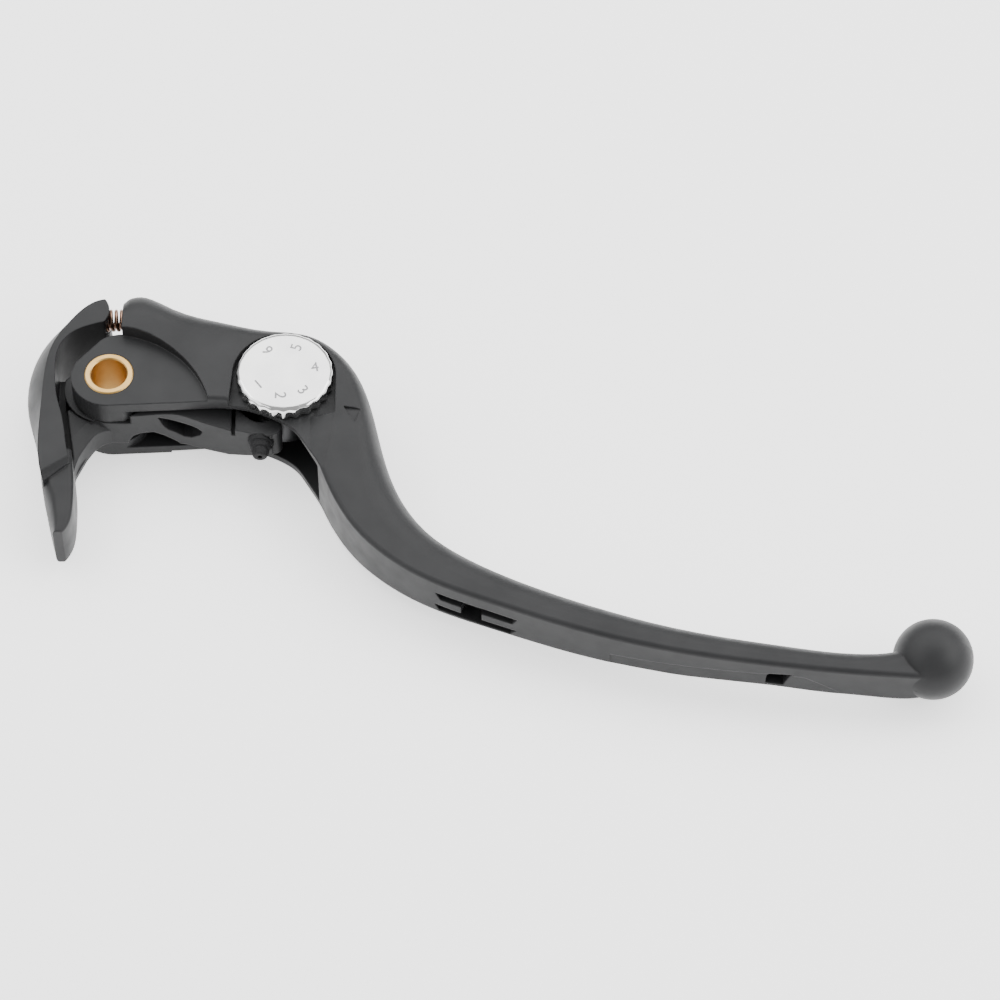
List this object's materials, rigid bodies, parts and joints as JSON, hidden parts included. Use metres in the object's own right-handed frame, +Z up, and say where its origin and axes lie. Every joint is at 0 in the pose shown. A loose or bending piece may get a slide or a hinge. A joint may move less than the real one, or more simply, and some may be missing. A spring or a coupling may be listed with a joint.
{
  "type": "clutch lever",
  "caption": "Adjustable clutch lever with a channelled blade and ball end, a knocker arm on a brass bush, and a numbered cam dial that sets the reach.",
  "frame": {"origin": "middle of the pivot bush bore, half way along it", "axes": "+Z up along the pivot axis, +X out along the lever towards its ball end, +Y the side the fingers pull on"},
  "size_m": [0.1897, 0.091, 0.021],
  "materials": {
    "blade_paint": "satin black coat on die-cast aluminium",
    "knocker_paint": "satin black coat on die-cast aluminium",
    "bush_brass": "turned",
    "dial_chrome": "polished plating",
    "spindle_steel": "turned, dark",
    "washer_steel": "stamped",
    "ball_steel": "ground",
    "spring_wire": "copper-coloured drawn wire",
    "bumper_rubber": "moulded"
  },
  "bodies": {
    "blade_unit": {"blade": "blade_paint", "pivot_bush": "bush_brass", "dial_washer": "washer_steel", "foot_washer": "washer_steel", "return_spring": "spring_wire"},
    "knocker_unit": {"knocker": "knocker_paint", "arm_bumper": "bumper_rubber"},
    "dial_unit": {"adjuster_dial": "dial_chrome", "cam_spindle": "spindle_steel", "spindle_circlip": "washer_steel", "detent_spring": "washer_steel"},
    "detent_unit": {"detent_ball": "ball_steel"}
  },
  "joints": [
    {"name": "dial_turn", "type": "hinge", "parent": "blade_unit", "child": "dial_unit", "pos_m": [0.0357, -0.0006, 0], "axis": [0, 0, 1], "range_deg": [-180, 120]},
    {"name": "knocker_pivot", "type": "hinge", "parent": "blade_unit", "child": "knocker_unit", "pos_m": [0, 0, 0], "axis": [0, 0, 1], "range_deg": [-1.65, 2.45], "deforming": ["return_spring"]},
    {"name": "detent_travel", "type": "slide", "parent": "dial_unit", "child": "detent_unit", "axis": [0, 0, -1], "range_m": [0, 0.00025]}
  ],
  "couplings": [
    {"joint": "knocker_pivot", "follows": "dial_turn", "ratio": -0.01353}
  ]
}
